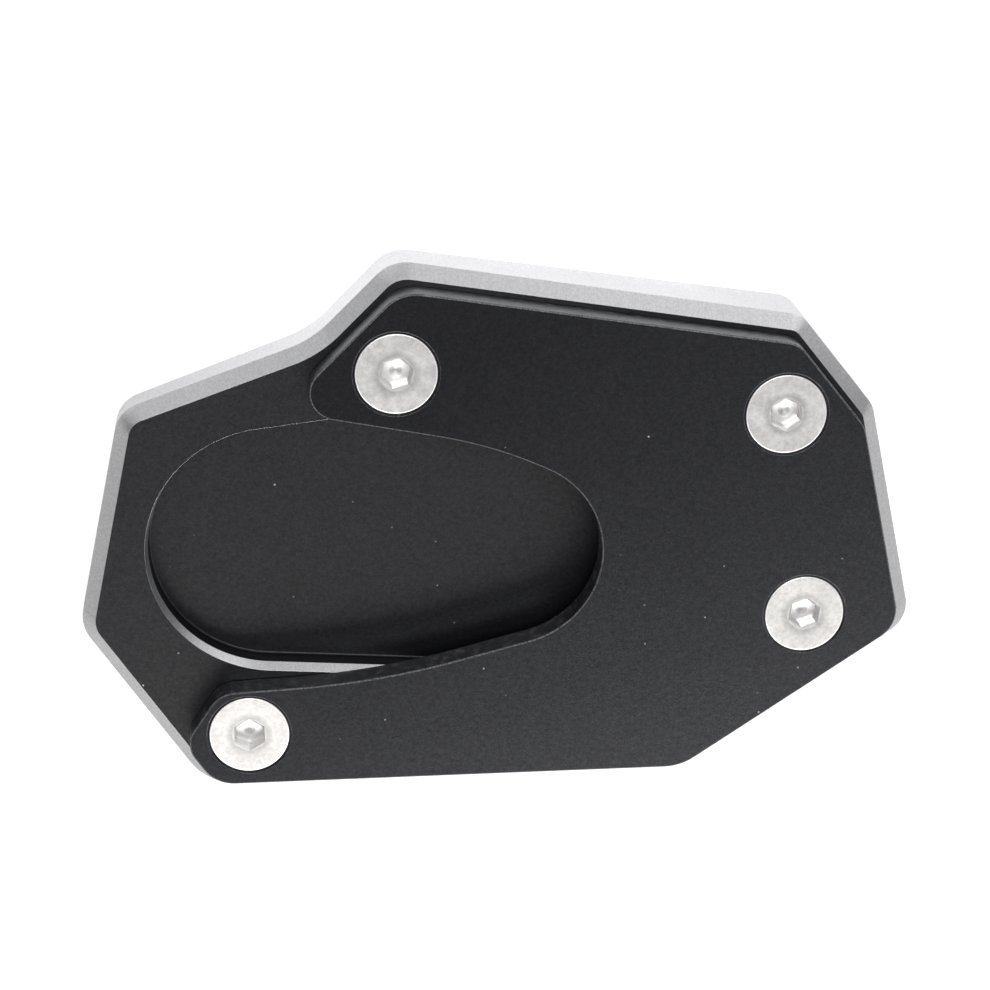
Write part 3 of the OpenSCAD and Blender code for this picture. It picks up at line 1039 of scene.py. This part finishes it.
def add_lamp(name, place_at, size, power, colour=(1.0, 1.0, 1.0)):
    """Lamp that shines on the part's middle."""
    data = bpy.data.lights.new(name, "AREA")
    data.shape = "RECTANGLE"
    data.size, data.size_y = size
    data.energy = power
    data.color = colour
    lamp = new_object(name, data)
    lamp.location = place_at
    direction = PART_MIDDLE - Vector(place_at)
    lamp.rotation_euler = direction.to_track_quat("-Z", "Y").to_euler()


# Brightness of the surroundings against how far a direction leans to the back
FRONT_SHADE, BACK_SHADE = 0.40, 0.72
WORLD_SHADES = ((-0.5, 0.42), (-0.12, 0.44), (0.33, 0.08), (0.53, 0.52), (0.86, 0.78), (0.93, 0.69))


def grey(shade):
    """A grey with a little blue."""
    return (shade, shade, 1.01 * shade, 1.0)


def studio_world():
    """Soft surroundings: brighter behind the object, darker at both sides and overhead."""
    world = bpy.data.worlds.new("studio")
    world.use_nodes = True
    sheet = NodeSheet(world.node_tree)
    towards = sheet.split(sheet.node("ShaderNodeTexCoord").outputs["Generated"])
    ramp = sheet.node("ShaderNodeValToRGB",
                      Fac=sheet.spread(towards["Y"], (-1.0, 1.0), NONE_TO_ALL))
    stops = ramp.color_ramp.elements
    front, back = stops
    front.color, back.color = grey(FRONT_SHADE), grey(BACK_SHADE)
    for towards_back, shade in WORLD_SHADES:
        stops.new((towards_back + 1) / 2).color = grey(shade)
    to_the_right = sheet.spread(towards["X"], (0.22, 0.40), (0.74, 1.40))
    shades = sheet.made("ShaderNodeVectorMath", operation="SCALE",
                        Vector=ramp.outputs["Color"], Scale=to_the_right)
    soft = sheet.own("Background", Color=shades, Strength=1.0)
    white = sheet.made("ShaderNodeBackground", Color=WHITE)
    in_camera = sheet.node("ShaderNodeLightPath").outputs["Is Camera Ray"]
    seen = sheet.made("ShaderNodeMixShader", in_camera, soft.outputs[0], white)
    sheet.own("World Output", Surface=seen)
    return world


# The camera was solved from the photograph: its axes and place in the deck's frame
CAMERA_RIGHT = Vector((0.99555, 0.0, 0.09424))
CAMERA_DOWN = Vector((-0.03236, -0.9392, 0.34185))
CAMERA_FORWARD = Vector((0.08851, -0.34338, -0.93502))
CAMERA_PLACE = Vector((-33.57, 131.86, 344.08)) * MM


def photo_camera():
    data = bpy.data.cameras.new("photo_camera")
    data.sensor_width = SENSOR_MM
    data.lens = settings().studio.focal_pixels * SENSOR_MM / PHOTO_WIDTH
    data.clip_start, data.clip_end = 0.01, 20.0
    camera = new_object("photo_camera", data)
    axes = Matrix((CAMERA_RIGHT, -CAMERA_DOWN, -CAMERA_FORWARD)).transposed().to_4x4()
    camera.matrix_world = deck_matrix() @ Matrix.Translation(CAMERA_PLACE) @ axes
    bpy.context.scene.camera = camera


class FOOT_OT_stage(bpy.types.Operator):
    """Makes the floor, the lamps, the surroundings and the camera"""

    bl_idname = "foot_enlarger.stage"
    bl_label = "Stage"

    def execute(self, context):
        studio = settings().studio
        half = studio.floor_size / 2
        mesh = bpy.data.meshes.new("floor")
        mesh.from_pydata([(x * half, y * half, -studio.floor_drop)
                          for x, y in ((-1, -1), (1, -1), (1, 1), (-1, 1))], [], [(0, 1, 2, 3)])
        mesh.materials.append(floor_material())
        floor = new_object("floor", mesh)
        context.scene.world = studio_world()
        add_lamp("soft_front", (0.0, -0.74, 0.62), size=(1.5, 0.60), power=9.5,
                 colour=(1.0, 0.985, 0.95))
        add_lamp("beside_camera", (-0.06, 0.30, 0.78), size=(0.45, 0.45), power=2.7)
        photo_camera()
        context.scene.view_settings.view_transform = "Standard"
        return {"FINISHED"}


# Panel and start

class FootEnlargerSettings(bpy.types.PropertyGroup):
    """All sizes and colours of the foot enlarger"""

    outline: bpy.props.PointerProperty(type=OutlineSettings)
    base_plate: bpy.props.PointerProperty(type=BasePlateSettings)
    clamp_plate: bpy.props.PointerProperty(type=ClampPlateSettings)
    screws: bpy.props.PointerProperty(type=ScrewSettings)
    finishes: bpy.props.PointerProperty(type=FinishSettings)
    studio: bpy.props.PointerProperty(type=StudioSettings)


class FOOT_PT_panel(bpy.types.Panel):
    """Lists the settings and the pieces"""

    bl_label = "Foot Enlarger"
    bl_idname = "FOOT_PT_panel"
    bl_space_type = "VIEW_3D"
    bl_region_type = "UI"
    bl_category = "Foot Enlarger"

    def draw(self, context):
        groups = context.scene.foot_enlarger
        for title in FootEnlargerSettings.__annotations__:
            box = self.layout.box()
            box.label(text=title.replace("_", " ").capitalize())
            group = getattr(groups, title)
            for name in group.__annotations__:
                box.prop(group, name)
        for operator in OPERATORS:
            self.layout.operator(operator.bl_idname)


OPERATORS = (FOOT_OT_base_plate, FOOT_OT_clamp_plate, FOOT_OT_screws, FOOT_OT_stage)
CLASSES = (
    OutlineSettings, BasePlateSettings, ClampPlateSettings, ScrewSettings, FinishSettings,
    StudioSettings, FootEnlargerSettings, *OPERATORS, FOOT_PT_panel,
)


def register():
    for cls in CLASSES:
        bpy.utils.register_class(cls)
    bpy.types.Scene.foot_enlarger = bpy.props.PointerProperty(type=FootEnlargerSettings)


def unregister():
    del bpy.types.Scene.foot_enlarger
    for cls in reversed(CLASSES):
        bpy.utils.unregister_class(cls)


def main():
    register()
    bpy.ops.foot_enlarger.base_plate()
    bpy.ops.foot_enlarger.clamp_plate()
    bpy.ops.foot_enlarger.screws()
    bpy.ops.foot_enlarger.stage()
    bpy.context.view_layer.update()


if __name__ == "__main__":
    main()
